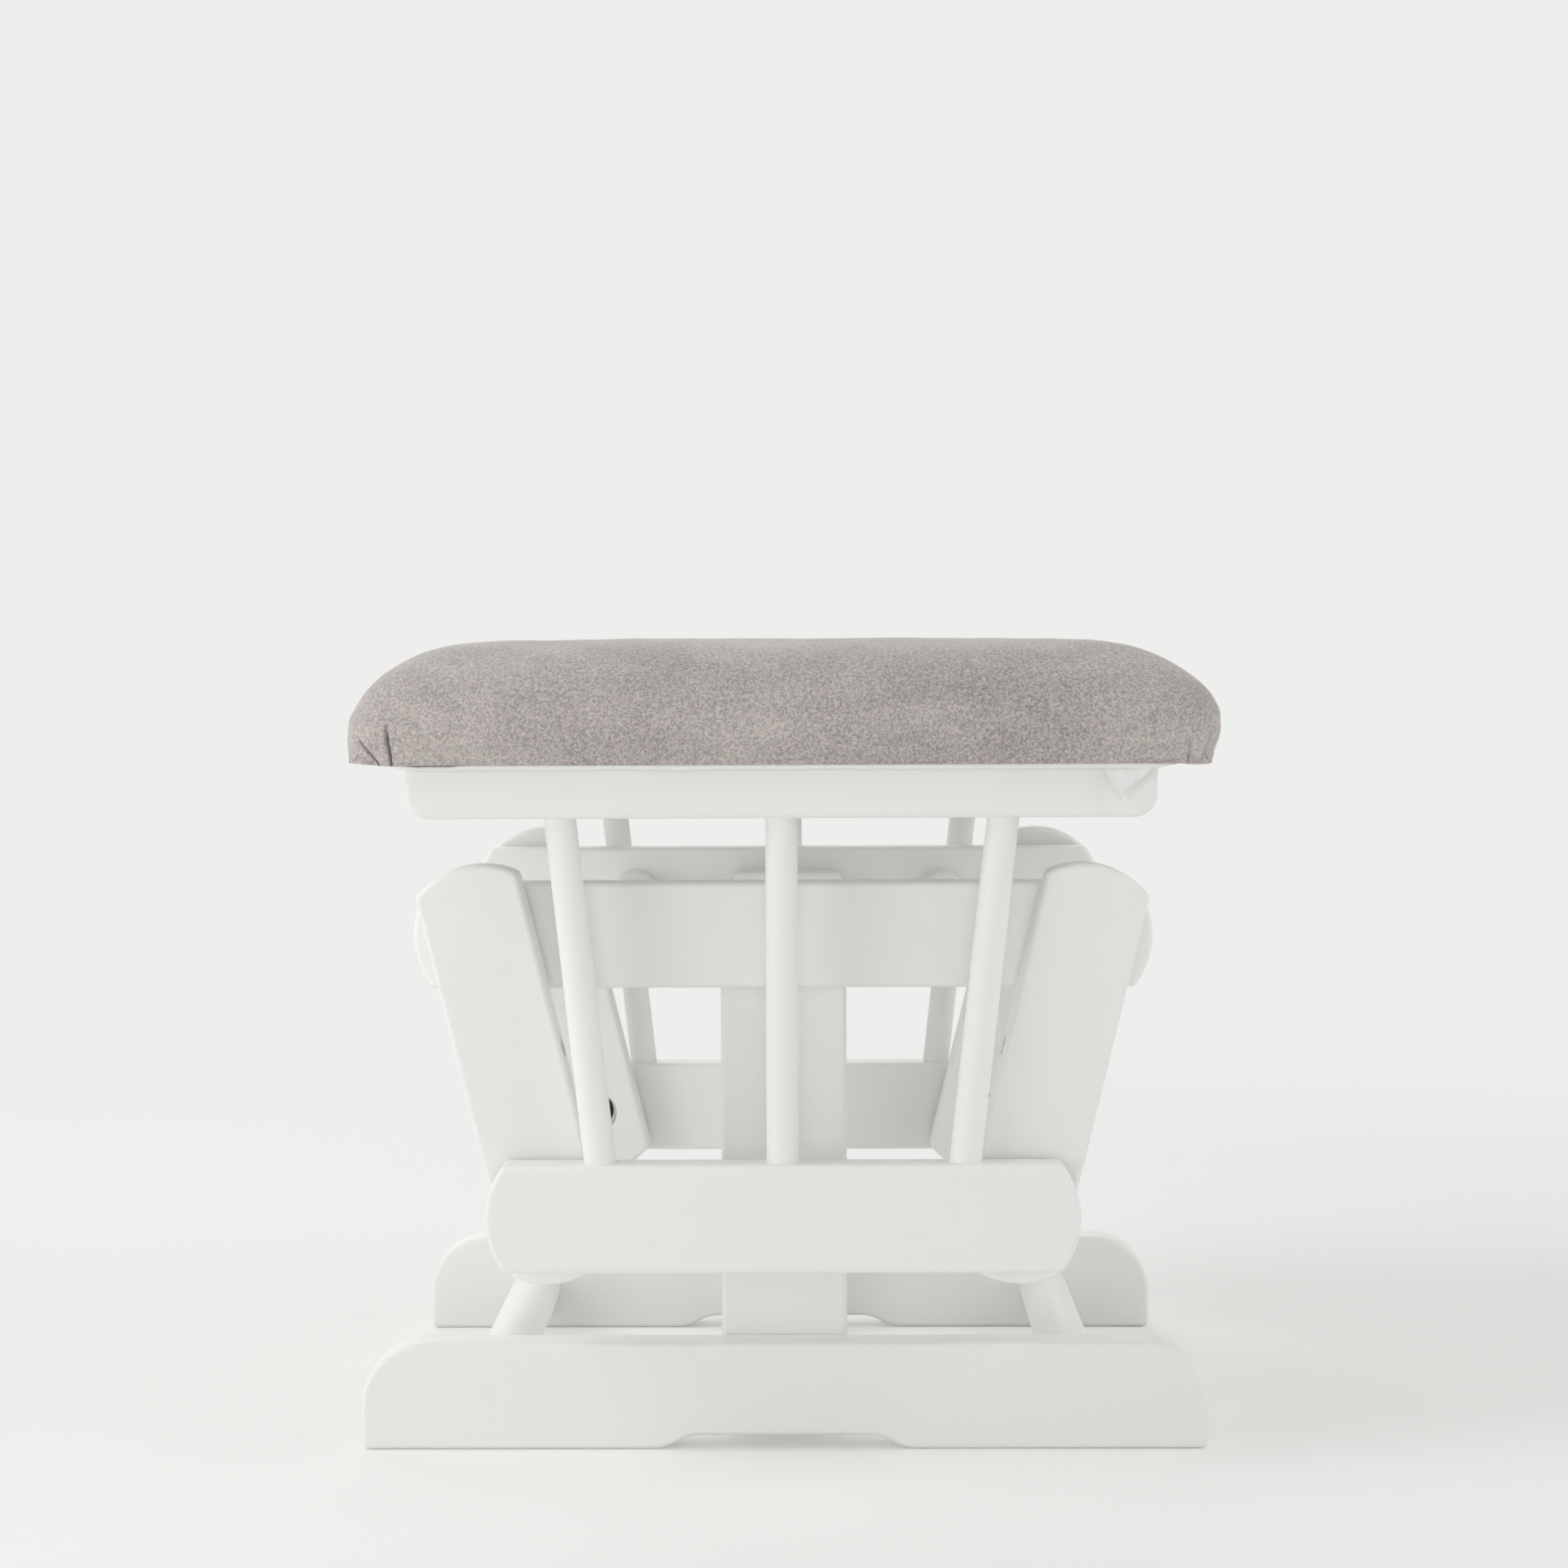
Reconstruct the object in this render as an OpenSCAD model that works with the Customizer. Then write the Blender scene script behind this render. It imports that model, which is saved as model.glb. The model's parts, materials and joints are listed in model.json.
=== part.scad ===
// Glider ottoman: a cushioned platform hung on four swinging arms over a fixed base.
// X runs along the glide, Y across it and Z up from the floor. Front is -X and left is -Y.
// Each piece is drawn at the rear or right of the part and mirrored to its other places.

/* [Boards] */
// Thickness of every board
board_t = 22; // [19:0.5:25]
// Height of the two base rails and the two lower rails
rail_h = 54; // [48:1:60]
// How far the arched end of a rail or arm stands out at its middle
end_rise = 9.5; // [6:0.5:12]
// Radius of the softened corners of rails, arms and posts
corner_r = 4; // [2:0.5:6]

/* [Feet] */
// Length of each foot along the glide
foot_len = 435; // [400:1:470]
// Height of each foot
foot_h = 55; // [48:1:62]
// Radius of the round upper corners of a foot
foot_corner_r = 33; // [20:1:40]
// Width of the arch under a foot where it leaves the floor
arch_w = 134; // [100:2:170]
// Width of the flat top of that arch
arch_top_w = 86; // [60:2:96]
// Height of that arch
arch_h = 7; // [5:0.5:9]
// Width across the outer faces of the two feet
base_w = 308; // [290:1:340]

/* [Base frame] */
// Length of each base rail
base_rail_len = 377; // [360:1:400]
// Width of each post
post_w = 65; // [50:1:80]
// Height of the lower end of a post above the floor
post_bottom_z = 9; // [8:1:16]
// Drop of the post's top below the top of the base rail
post_drop = 13.5; // [6:0.5:18]
// Diameter of the four round stretchers
stretcher_d = 28; // [22:1:30]
// How far the axes of the lower stretchers lie in from the ends of the feet
lower_stretcher_inset = 64.5; // [55:0.5:80]
// Height of the lower stretchers' axes
lower_stretcher_z = 25; // [22:1:30]
// Distance of the upper stretchers from the middle
upper_stretcher_x = 92; // [70:1:105]
// Depth of the blind sockets for stretchers and spindles
socket_depth = 14; // [10:1:16]

/* [Arms] */
// Distance of the upper pivots from the middle
upper_pivot_x = 152; // [146:1:158]
// Height of the upper pivots, which is the middle of the base rails
upper_pivot_z = 264.5; // [258:0.5:270]
// Distance of the lower pivots from the middle
lower_pivot_x = 118.5; // [112:0.5:124]
// Height of the lower pivots, which is the middle of the lower rails
lower_pivot_z = 127.5; // [122:0.5:134]
// Width of an arm
arm_w = 53; // [48:1:58]
// Distance from a pivot to the crown of the arm's nearest end
arm_end = 37.5; // [34:0.5:42]
// Gap between an arm and the board on each side of it
arm_gap = 2.5; // [1.5:0.5:4]
// Diameter of the blind hole in the inner edge of each arm
edge_hole_d = 10; // [6:1:14]
// Depth of that hole
edge_hole_depth = 12; // [6:1:16]
// Height of that hole above the floor
edge_hole_z = 203; // [190:1:215]

/* [Bearings] */
// Outer diameter of a bearing
bearing_od = 25; // [22:0.5:26]
// Width of a bearing
bearing_w = 7; // [6:0.5:8]
// Inner diameter of the bearing's outer ring
outer_race_d = 20; // [18.5:0.5:21]
// Outer diameter of the bearing's inner ring
inner_race_d = 13; // [12:0.5:14]
// Thickness of a bearing's seal
seal_t = 0.8; // [0.5:0.1:1]
// Number of balls in a bearing
ball_count = 8; // [6:1:10]
// Diameter of pivot bolts and studs
bolt_d = 8; // [6:0.5:8]
// Diameter of a pivot bolt's round head
bolt_head_d = 14; // [12:0.5:16]
// Height of that head
bolt_head_h = 4.4; // [3:0.2:5]
// Width across the corners of the hexagon socket in that head
bolt_socket_d = 5.8; // [4:0.2:7]
// Outer diameter of the spacer sleeves
sleeve_d = 12; // [11:0.5:12.5]
// Outer diameter of the threaded inserts in the lower rails
insert_d = 12; // [10:0.5:14]
// Length of those inserts
insert_len = 14; // [10:1:15]
// Depth that a pivot stud is set into the base rail
stud_depth = 17; // [12:1:19]
// Depth of the wide pocket for an upper bearing, from the arm's inner face
upper_pocket_depth = 12.5; // [11:0.5:15]
// Depth of the wide pocket for a lower bearing, from the arm's inner face
lower_pocket_depth = 18.5; // [14:0.5:19]
// Diameter of the hole through the rest of the arm at a lower pivot
web_hole_d = 16; // [14:0.5:18]
// Room all round the rear upper bearings, taken up as the arms swing
open_pivot_room = 3.5; // [3.4:0.1:4.5]

/* [Platform] */
// Length of each lower rail
lower_rail_len = 296; // [280:1:310]
// Height of each seat rail
seat_rail_h = 26; // [22:1:32]
// Height of the seat rails' underside above the floor
seat_rail_z = 326.5; // [320:0.5:334]
// Radius of a seat rail's lower corners
seat_corner_r = 11.5; // [6:0.5:14]
// Diameter of the six spindles
spindle_d = 16; // [12:0.5:18]
// Distance of a slanted spindle's top from the end of the seat rail
spindle_inset = 75.5; // [60:0.5:90]
// How much further out a slanted spindle's top is than its foot
spindle_splay = 19; // [8:0.5:28]
// Diameter of the dowel pins in the ends of the cross rails
dowel_d = 8; // [6:1:10]
// Depth of a dowel pin in the seat rail
dowel_rail_depth = 12; // [8:1:15]
// Depth of a dowel pin in the end of a cross rail
dowel_cross_depth = 20; // [12:1:25]
// Distance of a pair of dowel pins from each other
dowel_pitch = 12; // [11:0.5:14]

/* [Seat] */
// Length of the seat board along the glide
seat_board_len = 400; // [380:1:430]
// Distance of its side edges from the outer faces of the seat rails
seat_board_setback = 3; // [0:0.5:10]
// Radius of the seat board's corners
seat_board_r = 20; // [12:1:30]
// Thickness of the seat board
seat_board_t = 9; // [6:0.5:12]
// Distance of each end of a seat rail from the seat board's edge
seat_rail_inset = 14.5; // [8:0.5:25]
// Distance of the cross rails' middles from the seat board's edges
cross_rail_inset = 50; // [42:1:80]
// How far the dust cover reaches past the seat board on each side
dust_cover_overlap = 2; // [0:0.5:4]
// Thickness of the dust cover's folded edge
dust_cover_t = 1; // [0.6:0.1:1.4]
// Distance of the foam block's sides from the seat board's edges
foam_inset = 6; // [4:0.5:20]
// Thickness of the foam block
foam_t = 34; // [25:1:38]
// Width of the cushion cover's hem under the seat board
hem_w = 28; // [15:1:40]
// Thickness of that hem
hem_t = 1; // [0.6:0.1:1.4]

/* [Cushion] */
// How far the cushion bulges past the seat board's front and rear edges at its widest
end_bulge = 17; // [12:0.5:20]
// How far it bulges past the seat board's left and right edges
side_bulge = 13; // [11:0.5:17]
// Height of the cushion at its crown
cushion_h = 61.5; // [56:0.5:68]
// Radius of the cushion's upright corners
cushion_corner_r = 30; // [24:1:40]
// Size of the roll over the cushion's upper edges
edge_roll = 42; // [36:1:46]
// Depth to which each side pulls in between its corners
side_draw = 2.5; // [0:0.5:6]
// Depth of the pleats at the lower corners
pleat_depth = 1.2; // [0:0.2:2]

/* [Screws] */
// Diameter of the wood screws
screw_d = 5; // [4:0.5:5.5]
// Diameter of their heads
screw_head_d = 9.5; // [8:0.5:11]
// Height of their cone-shaped heads
screw_head_h = 3; // [2:0.5:4]
// Length of the screws that hold the posts
post_screw_len = 38; // [30:1:40]
// Distance between a pair of post screws
post_screw_pitch = 36; // [24:1:44]
// Height of the lower pair of post screws above the floor
foot_screw_z = 32; // [28:1:38]
// Length of the screws that hold the seat board
seat_screw_len = 24; // [20:1:28]
// Distance of the seat board's screws from the middle, across the glide
seat_screw_y = 100; // [60:1:140]

/* [Hidden] */

// Smoothness of round pieces, arched ends and small corners
$fn = 64;
end_steps = 20;
corner_steps = 6;

// Clearances: a press seat, a turning fit and a soft piece beside its neighbour
seat_clear = 0.05;
turn_clear = 0.05;
soft_clear = 0.3;
screw_clear = 0.1;
seal_clear = 0.25;
seal_inset = 0.2;
// Room past the end of a blind socket, of a bolt and of an upper bearing
socket_end = 0.3;
bolt_end_gap = 1;
upper_bearing_gap = 2;
// Overrun of every cut
cut = 1;

// Places across the glide, as distances from the middle plane
foot_y = base_w / 2;
inner_y = foot_y - board_t;
post_y = inner_y - board_t;
arm_y = foot_y + arm_gap;
arm_out_y = arm_y + board_t;
rail_y = arm_out_y + arm_gap;
rail_out_y = rail_y + board_t;
rail_mid_y = rail_y + board_t / 2;

// Heights
base_rail_z = upper_pivot_z - rail_h / 2;
lower_rail_z = lower_pivot_z - rail_h / 2;
lower_rail_top = lower_rail_z + rail_h;
post_top_z = base_rail_z + rail_h - post_drop;
seat_rail_top = seat_rail_z + seat_rail_h;
lower_stretcher_x = foot_len / 2 - lower_stretcher_inset;
dust_cover_z = seat_rail_top + soft_clear;
hem_z = dust_cover_z + dust_cover_t + soft_clear;
seat_board_z = hem_z + hem_t + soft_clear;
foam_z = seat_board_z + seat_board_t + soft_clear;
seat_screw_z = seat_board_z + seat_board_t - soft_clear - seat_screw_len;

// Pieces of the seat, which follow the seat board and the rails under it
seat_board_w = 2 * (rail_out_y - seat_board_setback);
seat_rail_len = seat_board_len - 2 * seat_rail_inset;
cross_rail_x = seat_board_len / 2 - cross_rail_inset;
spindle_top_x = seat_rail_len / 2 - spindle_inset;
spindle_bottom_x = spindle_top_x - spindle_splay;
cushion_len = seat_board_len + 2 * end_bulge;
cushion_w = seat_board_w + 2 * side_bulge;

// Pivot hardware, as distances from the middle plane
upper_pocket_y = arm_y + upper_pocket_depth;
upper_bearing_y = upper_pocket_y - upper_bearing_gap - bearing_w;
lower_pocket_y = arm_y + lower_pocket_depth;
lower_bearing_y = lower_pocket_y - bearing_w;
// Share of a bolt head's height that its socket takes up
bolt_socket_share = 0.6;
ball_d = (outer_race_d - inner_race_d) / 2 - 2 * turn_clear;
ball_path_r = (outer_race_d + inner_race_d) / 4;

// Slant of the arms, from the line through their two pivots
arm_dx = upper_pivot_x - lower_pivot_x;
arm_dz = upper_pivot_z - lower_pivot_z;
arm_link = sqrt(arm_dx * arm_dx + arm_dz * arm_dz);
arm_angle = atan2(arm_dz, arm_dx);
edge_hole_x = lower_pivot_x + arm_dx * (edge_hole_z - lower_pivot_z) / arm_dz;

// Colours
paint = "whitesmoke";
cloth = "darkgray";
steel = "silver";
dark_rubber = "dimgray";
plywood = "burlywood";
foam = "ivory";

function arc(c, r, from, to, steps) =
    [for (i = [0 : steps]) let (a = from + (to - from) * i / steps) c + r * [cos(a), sin(a)]];

// Outline of a bar along X with arched ends and softened corners
function bar_outline(len, h) =
    let (
        r = (h * h / 4 + end_rise * end_rise) / (2 * end_rise),
        arch_c = len / 2 - r,
        cz = h / 2 - corner_r,
        cx = arch_c + sqrt((r - corner_r) * (r - corner_r) - cz * cz),
        a = atan2(cz, cx - arch_c)
    )
    concat(
        arc([arch_c, 0], r, -a, a, end_steps),
        arc([cx, cz], corner_r, a, 90, corner_steps),
        arc([-cx, cz], corner_r, 90, 180 - a, corner_steps),
        arc([-arch_c, 0], r, 180 - a, 180 + a, end_steps),
        arc([-cx, -cz], corner_r, 180 + a, 270, corner_steps),
        arc([cx, -cz], corner_r, 270, 360 - a, corner_steps)
    );

// Outline of a foot, with its round upper corners and the shallow arch in its underside
function foot_outline() =
    let (
        half = (arch_w - arch_top_w) / 4,
        r = (half * half + arch_h * arch_h / 4) / arch_h,
        a = asin(half / r),
        x = foot_len / 2
    )
    concat(
        arc([x - corner_r, corner_r], corner_r, -90, 0, corner_steps),
        arc([x - foot_corner_r, foot_h - foot_corner_r], foot_corner_r, 0, 90, end_steps),
        arc([-x + foot_corner_r, foot_h - foot_corner_r], foot_corner_r, 90, 180, end_steps),
        arc([-x + corner_r, corner_r], corner_r, 180, 270, corner_steps),
        arc([-arch_w / 2, r], r, -90, -90 + a, corner_steps),
        arc([-arch_top_w / 2, arch_h - r], r, 90 + a, 90, corner_steps),
        arc([arch_top_w / 2, arch_h - r], r, 90, 90 - a, corner_steps),
        arc([arch_w / 2, r], r, -90 - a, -90, corner_steps)
    );

// Outline of a post between two heights
function post_outline() =
    let (x = post_w / 2)
    concat(
        [[-x, post_bottom_z], [x, post_bottom_z]],
        arc([x - corner_r, post_top_z - corner_r], corner_r, 0, 90, corner_steps),
        arc([-x + corner_r, post_top_z - corner_r], corner_r, 90, 180, corner_steps)
    );

// Outline of a seat rail, round at its lower corners
function seat_rail_outline() =
    let (x = seat_rail_len / 2, r = seat_corner_r)
    concat(
        [[x, seat_rail_top], [-x, seat_rail_top]],
        arc([-x + r, seat_rail_z + r], r, 180, 270, corner_steps),
        arc([x - r, seat_rail_z + r], r, 270, 360, corner_steps)
    );

// Mirrors a right-hand piece to the left, and a rear piece to the front
module right() { children(); }
module left() { mirror([0, 1, 0]) children(); }
module rear() { children(); }
module front() { mirror([1, 0, 0]) children(); }
module four_corners() {
    rear() right() children();
    rear() left() children();
    front() right() children();
    front() left() children();
}

// Stands an outline of X and Z up as a board between two distances from the middle
module board(from_y, to_y) {
    translate([0, to_y, 0]) rotate([90, 0, 0]) linear_extrude(to_y - from_y) children();
}

// Round rod and ring along Y
module rod_y(from_y, to_y, d) {
    translate([0, from_y, 0]) rotate([-90, 0, 0]) cylinder(h = to_y - from_y, d = d);
}
module ring_y(from_y, to_y, outer_d, inner_d) {
    difference() {
        rod_y(from_y, to_y, outer_d);
        rod_y(from_y - cut, to_y + cut, inner_d);
    }
}

// Countersunk wood screw along Z, its head's face at 0 and its point upwards
module wood_screw(len, clear) {
    cylinder(h = len, d = screw_d + 2 * clear);
    cylinder(h = screw_head_h, d1 = screw_head_d + 2 * clear, d2 = screw_d + 2 * clear);
}

// Base

// Places of the two stretchers of one end, as rods that a clearance can widen
module lower_stretcher_rod(clear, end) {
    reach = inner_y + socket_depth + end;
    translate([lower_stretcher_x, 0, lower_stretcher_z]) rod_y(-reach, reach, stretcher_d + 2 * clear);
}
module upper_stretcher_rod(clear, end) {
    reach = inner_y + socket_depth + end;
    translate([upper_stretcher_x, 0, upper_pivot_z]) rod_y(-reach, reach, stretcher_d + 2 * clear);
}

// Screws through a post into the base rail and the foot
module post_screw_set(clear) {
    for (x = [-post_screw_pitch / 2, post_screw_pitch / 2], z = [foot_screw_z, upper_pivot_z])
        translate([x, post_y, z]) rotate([-90, 0, 0]) wood_screw(post_screw_len, clear);
}

// Stud set into the base rail, which reaches through the upper bearing
module stud(clear, end) {
    translate([upper_pivot_x, 0, upper_pivot_z])
        rod_y(foot_y - stud_depth - end, upper_bearing_y + bearing_w + bolt_end_gap, bolt_d + 2 * clear);
}

module foot() {
    color(paint) difference() {
        board(inner_y, foot_y) polygon(foot_outline());
        rear() lower_stretcher_rod(seat_clear, socket_end);
        front() lower_stretcher_rod(seat_clear, socket_end);
        post_screw_set(screw_clear);
    }
}

module post() {
    color(paint) difference() {
        board(post_y, inner_y) polygon(post_outline());
        post_screw_set(screw_clear);
    }
}

module base_rail() {
    color(paint) difference() {
        board(inner_y, foot_y) translate([0, upper_pivot_z]) polygon(bar_outline(base_rail_len, rail_h));
        rear() upper_stretcher_rod(seat_clear, socket_end);
        front() upper_stretcher_rod(seat_clear, socket_end);
        rear() stud(seat_clear, socket_end);
        front() stud(seat_clear, socket_end);
        post_screw_set(screw_clear);
    }
}

module left_foot() { left() foot(); }
module right_foot() { right() foot(); }
module left_post() { left() post(); }
module right_post() { right() post(); }
module left_base_rail() { left() base_rail(); }
module right_base_rail() { right() base_rail(); }
module front_lower_stretcher() { color(paint) front() lower_stretcher_rod(0, 0); }
module rear_lower_stretcher() { color(paint) rear() lower_stretcher_rod(0, 0); }
module front_upper_stretcher() { color(paint) front() upper_stretcher_rod(0, 0); }
module rear_upper_stretcher() { color(paint) rear() upper_stretcher_rod(0, 0); }
module post_screws() {
    color(steel) {
        right() post_screw_set(0);
        left() post_screw_set(0);
    }
}

// Pivots

module bearing_ring(y) { ring_y(y, y + bearing_w, bearing_od, outer_race_d); }
module bearing_core(y) { ring_y(y, y + bearing_w, inner_race_d, bolt_d + 2 * seat_clear); }
module bearing_balls(y) {
    for (i = [0 : ball_count - 1])
        rotate([0, 360 * i / ball_count, 0])
            translate([ball_path_r, y + bearing_w / 2, 0]) sphere(d = ball_d);
}
module bearing_seals(y) {
    outer_d = outer_race_d - 2 * seat_clear;
    inner_d = inner_race_d + 2 * seal_clear;
    ring_y(y + seal_inset, y + seal_inset + seal_t, outer_d, inner_d);
    ring_y(y + bearing_w - seal_inset - seal_t, y + bearing_w - seal_inset, outer_d, inner_d);
}
module at_upper_pivot() { translate([upper_pivot_x, 0, upper_pivot_z]) children(); }
module at_lower_pivot() { translate([lower_pivot_x, 0, lower_pivot_z]) children(); }

module pivot_studs() { color(steel) four_corners() stud(0, 0); }
module upper_sleeves() {
    color(steel) four_corners() at_upper_pivot()
        ring_y(foot_y, upper_bearing_y, sleeve_d, bolt_d + 2 * seat_clear);
}
module upper_bearing_cores() { color(steel) four_corners() at_upper_pivot() bearing_core(upper_bearing_y); }
module upper_bearing_balls() { color(steel) four_corners() at_upper_pivot() bearing_balls(upper_bearing_y); }
module rear_upper_bearing_rings() {
    color(steel) rear() {
        right() at_upper_pivot() bearing_ring(upper_bearing_y);
        left() at_upper_pivot() bearing_ring(upper_bearing_y);
    }
}
module rear_upper_bearing_seals() {
    color(dark_rubber) rear() {
        right() at_upper_pivot() bearing_seals(upper_bearing_y);
        left() at_upper_pivot() bearing_seals(upper_bearing_y);
    }
}

// Arms

// One arm, with the pockets for its bearings; the room is what its upper pocket has to spare
module arm(upper_room) {
    mid_x = (upper_pivot_x + lower_pivot_x) / 2;
    mid_z = (upper_pivot_z + lower_pivot_z) / 2;
    color(paint) difference() {
        board(arm_y, arm_out_y) translate([mid_x, mid_z]) rotate(arm_angle)
            polygon(bar_outline(arm_link + 2 * arm_end, arm_w));
        at_upper_pivot() rod_y(arm_y - cut, upper_pocket_y, bearing_od + 2 * upper_room);
        at_lower_pivot() rod_y(arm_y - cut, lower_pocket_y, bearing_od + 2 * seat_clear);
        at_lower_pivot() rod_y(lower_pocket_y - cut, arm_out_y + cut, web_hole_d);
        translate([edge_hole_x, arm_y + board_t / 2, edge_hole_z]) rotate([0, -arm_angle, 0])
            translate([0, 0, arm_w / 2 - edge_hole_depth])
                cylinder(h = edge_hole_depth + cut, d = edge_hole_d);
    }
}

module front_arm_rings() {
    color(steel) {
        front() at_upper_pivot() bearing_ring(upper_bearing_y);
        front() at_lower_pivot() bearing_ring(lower_bearing_y);
    }
}
module front_arm_seals() {
    color(dark_rubber) {
        front() at_upper_pivot() bearing_seals(upper_bearing_y);
        front() at_lower_pivot() bearing_seals(lower_bearing_y);
    }
}
module front_left_arm() { left() front() arm(seat_clear); }
module front_left_bearing_rings() { left() front_arm_rings(); }
module front_left_bearing_seals() { left() front_arm_seals(); }
module front_right_arm() { right() front() arm(seat_clear); }
module front_right_bearing_rings() { right() front_arm_rings(); }
module front_right_bearing_seals() { right() front_arm_seals(); }
module rear_left_arm() { left() rear() arm(open_pivot_room); }
module rear_left_bearing_ring() {
    color(steel) left() rear() at_lower_pivot() bearing_ring(lower_bearing_y);
}
module rear_left_bearing_seals() {
    color(dark_rubber) left() rear() at_lower_pivot() bearing_seals(lower_bearing_y);
}
module rear_right_arm() { right() rear() arm(open_pivot_room); }
module rear_right_bearing_ring() {
    color(steel) right() rear() at_lower_pivot() bearing_ring(lower_bearing_y);
}
module rear_right_bearing_seals() {
    color(dark_rubber) right() rear() at_lower_pivot() bearing_seals(lower_bearing_y);
}

// Platform frame

// A spindle from the lower rail at one distance to the seat rail at another
module spindle_rod(bottom_x, top_x, clear, end) {
    dx = top_x - bottom_x;
    dz = seat_rail_z - lower_rail_top;
    len = sqrt(dx * dx + dz * dz);
    translate([bottom_x, rail_mid_y, lower_rail_top]) rotate([0, atan2(dx, dz), 0])
        translate([0, 0, -socket_depth - end])
            cylinder(h = len + 2 * socket_depth + 2 * end, d = spindle_d + 2 * clear);
}
module slanted_spindle(clear, end) { spindle_rod(spindle_bottom_x, spindle_top_x, clear, end); }
module upright_spindle(clear, end) { spindle_rod(0, 0, clear, end); }
module spindle_sockets() {
    rear() slanted_spindle(seat_clear, socket_end);
    front() slanted_spindle(seat_clear, socket_end);
    upright_spindle(seat_clear, socket_end);
}

module threaded_insert(clear, end) {
    at_lower_pivot() rod_y(rail_y, rail_y + insert_len + end, insert_d + 2 * clear);
}

module lower_rail() {
    color(paint) difference() {
        board(rail_y, rail_out_y) translate([0, lower_pivot_z]) polygon(bar_outline(lower_rail_len, rail_h));
        spindle_sockets();
        rear() threaded_insert(seat_clear, socket_end);
        front() threaded_insert(seat_clear, socket_end);
    }
}

// Pair of dowel pins between a seat rail and the end of a cross rail
module dowel_pair(clear, end) {
    for (x = [-dowel_pitch / 2, dowel_pitch / 2])
        translate([cross_rail_x + x, 0, seat_rail_z + seat_rail_h / 2])
            rod_y(rail_y - dowel_cross_depth - end, rail_y + dowel_rail_depth + end, dowel_d + 2 * clear);
}

module seat_rail() {
    color(paint) difference() {
        board(rail_y, rail_out_y) polygon(seat_rail_outline());
        spindle_sockets();
        rear() dowel_pair(seat_clear, socket_end);
        front() dowel_pair(seat_clear, socket_end);
    }
}

// Screw up through a cross rail into the seat board, and the recess below its head
module seat_screw(clear) {
    translate([cross_rail_x, seat_screw_y, seat_screw_z]) wood_screw(seat_screw_len, clear);
}
module seat_screw_recess() {
    translate([cross_rail_x, seat_screw_y, seat_rail_z - cut])
        cylinder(h = seat_screw_z - seat_rail_z + cut, d = screw_head_d + 2 * screw_clear);
}

module cross_rail() {
    color(paint) difference() {
        translate([cross_rail_x - board_t / 2, -rail_y, seat_rail_z])
            cube([board_t, 2 * rail_y, seat_rail_h]);
        right() dowel_pair(seat_clear, socket_end);
        left() dowel_pair(seat_clear, socket_end);
        right() seat_screw(screw_clear);
        left() seat_screw(screw_clear);
        right() seat_screw_recess();
        left() seat_screw_recess();
    }
}

module left_lower_rail() { left() lower_rail(); }
module right_lower_rail() { right() lower_rail(); }
module left_seat_rail() { left() seat_rail(); }
module right_seat_rail() { right() seat_rail(); }
module front_left_spindle() { color(paint) left() front() slanted_spindle(0, 0); }
module middle_left_spindle() { color(paint) left() upright_spindle(0, 0); }
module rear_left_spindle() { color(paint) left() rear() slanted_spindle(0, 0); }
module front_right_spindle() { color(paint) right() front() slanted_spindle(0, 0); }
module middle_right_spindle() { color(paint) right() upright_spindle(0, 0); }
module rear_right_spindle() { color(paint) right() rear() slanted_spindle(0, 0); }
module front_cross_rail() { front() cross_rail(); }
module rear_cross_rail() { rear() cross_rail(); }
module dowel_pins() { color(plywood) four_corners() dowel_pair(0, 0); }

// Bolt through a lower bearing and its sleeve into the threaded insert
module pivot_bolt() {
    at_lower_pivot() difference() {
        union() {
            rod_y(lower_bearing_y - bolt_head_h, lower_bearing_y, bolt_head_d);
            rod_y(lower_bearing_y - cut, rail_y + insert_len - bolt_end_gap, bolt_d);
        }
        translate([0, lower_bearing_y - bolt_head_h - cut, 0]) rotate([-90, 0, 0])
            cylinder(h = bolt_head_h * bolt_socket_share + cut, d = bolt_socket_d, $fn = 6);
    }
}
module pivot_bolts() { color(dark_rubber) four_corners() pivot_bolt(); }
module lower_sleeves() {
    color(steel) four_corners() at_lower_pivot()
        ring_y(lower_pocket_y, rail_y, sleeve_d, bolt_d + 2 * seat_clear);
}
module threaded_inserts() {
    color(steel) four_corners() difference() {
        threaded_insert(0, 0);
        at_lower_pivot() rod_y(rail_y - cut, rail_y + insert_len + cut, bolt_d + 2 * seat_clear);
    }
}
module lower_bearing_cores() { color(steel) four_corners() at_lower_pivot() bearing_core(lower_bearing_y); }
module lower_bearing_balls() { color(steel) four_corners() at_lower_pivot() bearing_balls(lower_bearing_y); }

// Seat

// Panel with round corners that stands out past the seat board's edges by the same all round
module seat_panel(grow, z, h) {
    x = seat_board_len / 2 + grow - seat_board_r;
    y = seat_board_w / 2 + grow - seat_board_r;
    translate([0, 0, z]) linear_extrude(h) polygon(concat(
        arc([x, y], seat_board_r, 0, 90, corner_steps),
        arc([-x, y], seat_board_r, 90, 180, corner_steps),
        arc([-x, -y], seat_board_r, 180, 270, corner_steps),
        arc([x, -y], seat_board_r, 270, 360, corner_steps)
    ));
}

module seat_board() {
    color(plywood) difference() {
        seat_panel(0, seat_board_z, seat_board_t);
        four_corners() seat_screw(screw_clear);
    }
}
module seat_board_screws() { color(steel) four_corners() seat_screw(0); }
module foam_pad() { color(foam) seat_panel(-foam_inset, foam_z, foam_t); }
module dust_cover() {
    color(paint) difference() {
        seat_panel(dust_cover_overlap, dust_cover_z, dust_cover_t);
        four_corners() seat_screw(soft_clear);
    }
}

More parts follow.
